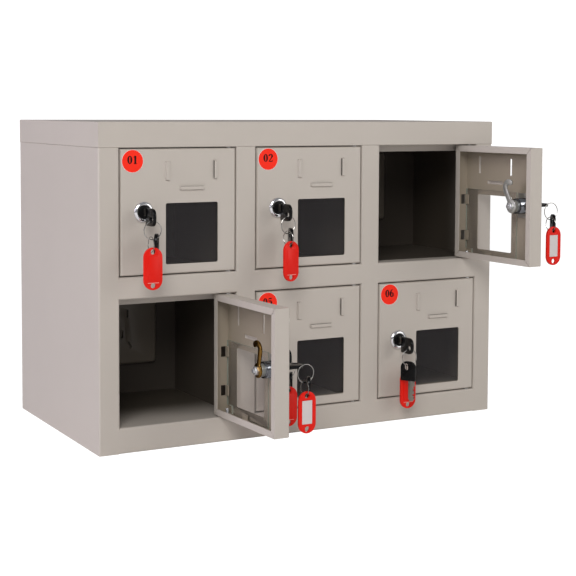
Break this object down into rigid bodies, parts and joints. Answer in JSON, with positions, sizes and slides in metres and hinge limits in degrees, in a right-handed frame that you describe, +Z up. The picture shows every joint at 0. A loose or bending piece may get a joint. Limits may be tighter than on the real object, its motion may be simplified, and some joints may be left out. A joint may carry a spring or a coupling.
{
  "type": "cell phone locker cabinet",
  "caption": "Desktop steel phone locker: numbered inset doors with viewing panes, card hoods, cam locks, keys and tags, and a mains outlet in each compartment.",
  "frame": {"origin": "middle of the fold along the lower front edge, on the surface the cabinet stands on", "axes": "+X to the right across the doors, +Y towards the back, +Z up; the doors face -Y"},
  "size_m": [0.5204, 0.3868, 0.349],
  "materials": {
    "cabinet_paint": "warm grey powder coat, fine satin",
    "clear_pane": "clear acrylic",
    "lock_chrome": "polished plate",
    "plated_steel": "bright zinc plate",
    "ring_steel": "nickel-plated wire",
    "key_head_plastic": "moulded black",
    "tag_plastic": "moulded red",
    "outlet_plastic": "moulded ivory"
  },
  "bodies": {
    "cabinet": {"side_panel_left": "cabinet_paint", "side_panel_right": "cabinet_paint", "base_panel": "cabinet_paint", "mid_rail": "cabinet_paint", "mullions": "cabinet_paint", "top_cover": "cabinet_paint", "back_panel": "cabinet_paint", "rear_liner": "cabinet_paint", "partitions": "cabinet_paint", "shelves": "cabinet_paint", "socket_outlets": "outlet_plastic", "hinge_pins": "plated_steel"},
    "door_01": {"door_panel_01": "cabinet_paint", "door_window_01": "clear_pane", "lock_housing_01": "lock_chrome"},
    "lock_01": {"lock_plug_01": "plated_steel"},
    "key_01_body": {"key_01": "key_head_plastic"},
    "fob_01": {"key_ring_01": "ring_steel", "spare_key_01": "key_head_plastic", "key_tag_01": "tag_plastic"},
    "door_02": {"door_panel_02": "cabinet_paint", "door_window_02": "clear_pane", "lock_housing_02": "lock_chrome"},
    "lock_02": {"lock_plug_02": "plated_steel"},
    "key_02_body": {"key_02": "key_head_plastic"},
    "fob_02": {"key_ring_02": "ring_steel", "spare_key_02": "key_head_plastic", "key_tag_02": "tag_plastic"},
    "door_03": {"door_panel_03": "cabinet_paint", "door_window_03": "clear_pane", "lock_housing_03": "lock_chrome"},
    "lock_03": {"lock_plug_03": "plated_steel"},
    "key_03_body": {"key_03": "key_head_plastic"},
    "fob_03": {"key_ring_03": "ring_steel", "spare_key_03": "key_head_plastic", "key_tag_03": "tag_plastic"},
    "door_04": {"door_panel_04": "cabinet_paint", "door_window_04": "clear_pane", "lock_housing_04": "lock_chrome"},
    "lock_04": {"lock_plug_04": "plated_steel"},
    "key_04_body": {"key_04": "key_head_plastic"},
    "fob_04": {"key_ring_04": "ring_steel", "spare_key_04": "key_head_plastic", "key_tag_04": "tag_plastic"},
    "door_05": {"door_panel_05": "cabinet_paint", "door_window_05": "clear_pane", "lock_housing_05": "lock_chrome"},
    "lock_05": {"lock_plug_05": "plated_steel"},
    "key_05_body": {"key_05": "key_head_plastic"},
    "fob_05": {"key_ring_05": "ring_steel", "spare_key_05": "key_head_plastic", "key_tag_05": "tag_plastic"},
    "door_06": {"door_panel_06": "cabinet_paint", "door_window_06": "clear_pane", "lock_housing_06": "lock_chrome"},
    "lock_06": {"lock_plug_06": "plated_steel"},
    "key_06_body": {"key_06": "key_head_plastic"},
    "fob_06": {"key_ring_06": "ring_steel", "spare_key_06": "key_head_plastic", "key_tag_06": "tag_plastic"}
  },
  "joints": [
    {"name": "door_01_swing", "type": "hinge", "parent": "cabinet", "child": "door_01", "pos_m": [-0.0995, -0.0025, 0.25425], "axis": [0, 0, 1], "range_deg": [0, 110]},
    {"name": "lock_01_turn", "type": "hinge", "parent": "door_01", "child": "lock_01", "pos_m": [-0.2, -0.0075, 0.2545], "axis": [0, -1, 0], "range_deg": [0, 90]},
    {"name": "key_01_pull", "type": "slide", "parent": "lock_01", "child": "key_01_body", "axis": [0, -1, 0], "range_m": [0, 0.03]},
    {"name": "fob_01_swing", "type": "hinge", "parent": "key_01_body", "child": "fob_01", "pos_m": [-0.2, -0.0324, 0.24661], "axis": [1, 0, 0], "range_deg": [-35, 8]},
    {"name": "door_02_swing", "type": "hinge", "parent": "cabinet", "child": "door_02", "pos_m": [0.05975, -0.0025, 0.25425], "axis": [0, 0, 1], "range_deg": [0, 110]},
    {"name": "lock_02_turn", "type": "hinge", "parent": "door_02", "child": "lock_02", "pos_m": [-0.04075, -0.0075, 0.2545], "axis": [0, -1, 0], "range_deg": [0, 90]},
    {"name": "key_02_pull", "type": "slide", "parent": "lock_02", "child": "key_02_body", "axis": [0, -1, 0], "range_m": [0, 0.03]},
    {"name": "fob_02_swing", "type": "hinge", "parent": "key_02_body", "child": "fob_02", "pos_m": [-0.04075, -0.0324, 0.24661], "axis": [0.9781, 0.2079, 0], "range_deg": [-35, 8]},
    {"name": "door_03_swing", "type": "hinge", "parent": "cabinet", "child": "door_03", "pos_m": [0.219, -0.0025, 0.25425], "axis": [0, 0, 1], "range_deg": [-93, 17]},
    {"name": "lock_03_turn", "type": "hinge", "parent": "door_03", "child": "lock_03", "pos_m": [0.22925, -0.1026, 0.2545], "axis": [0.9986, 0.0523, 0], "range_deg": [0, 90]},
    {"name": "key_03_pull", "type": "slide", "parent": "lock_03", "child": "key_03_body", "axis": [0.9986, 0.0523, 0], "range_m": [0, 0.03]},
    {"name": "fob_03_swing", "type": "hinge", "parent": "key_03_body", "child": "fob_03", "pos_m": [0.25975, -0.10751, 0.25714], "axis": [0.9986, 0.0523, 0], "range_deg": [-12, 12]},
    {"name": "door_04_swing", "type": "hinge", "parent": "cabinet", "child": "door_04", "pos_m": [-0.0995, -0.0025, 0.09525], "axis": [0, 0, 1], "range_deg": [-92, 18]},
    {"name": "lock_04_turn", "type": "hinge", "parent": "door_04", "child": "lock_04", "pos_m": [-0.091, -0.10276, 0.0955], "axis": [0.9994, 0.0349, 0], "range_deg": [0, 90]},
    {"name": "key_04_pull", "type": "slide", "parent": "lock_04", "child": "key_04_body", "axis": [0.9994, 0.0349, 0], "range_m": [0, 0.03]},
    {"name": "fob_04_swing", "type": "hinge", "parent": "key_04_body", "child": "fob_04", "pos_m": [-0.06059, -0.10821, 0.09814], "axis": [0.9994, 0.0349, 0], "range_deg": [-12, 12]},
    {"name": "door_05_swing", "type": "hinge", "parent": "cabinet", "child": "door_05", "pos_m": [0.05975, -0.0025, 0.09525], "axis": [0, 0, 1], "range_deg": [0, 110]},
    {"name": "lock_05_turn", "type": "hinge", "parent": "door_05", "child": "lock_05", "pos_m": [-0.04075, -0.0075, 0.0955], "axis": [0, -1, 0], "range_deg": [0, 90]},
    {"name": "key_05_pull", "type": "slide", "parent": "lock_05", "child": "key_05_body", "axis": [0, -1, 0], "range_m": [0, 0.03]},
    {"name": "fob_05_swing", "type": "hinge", "parent": "key_05_body", "child": "fob_05", "pos_m": [-0.04075, -0.0324, 0.08761], "axis": [1, 0, 0], "range_deg": [-35, 8]},
    {"name": "door_06_swing", "type": "hinge", "parent": "cabinet", "child": "door_06", "pos_m": [0.219, -0.0025, 0.09525], "axis": [0, 0, 1], "range_deg": [0, 110]},
    {"name": "lock_06_turn", "type": "hinge", "parent": "door_06", "child": "lock_06", "pos_m": [0.1185, -0.0075, 0.0955], "axis": [0, -1, 0], "range_deg": [0, 90]},
    {"name": "key_06_pull", "type": "slide", "parent": "lock_06", "child": "key_06_body", "axis": [0, -1, 0], "range_m": [0, 0.03]},
    {"name": "fob_06_swing", "type": "hinge", "parent": "key_06_body", "child": "fob_06", "pos_m": [0.1185, -0.0324, 0.08761], "axis": [-1, 0, 0], "range_deg": [-8, 35]}
  ]
}
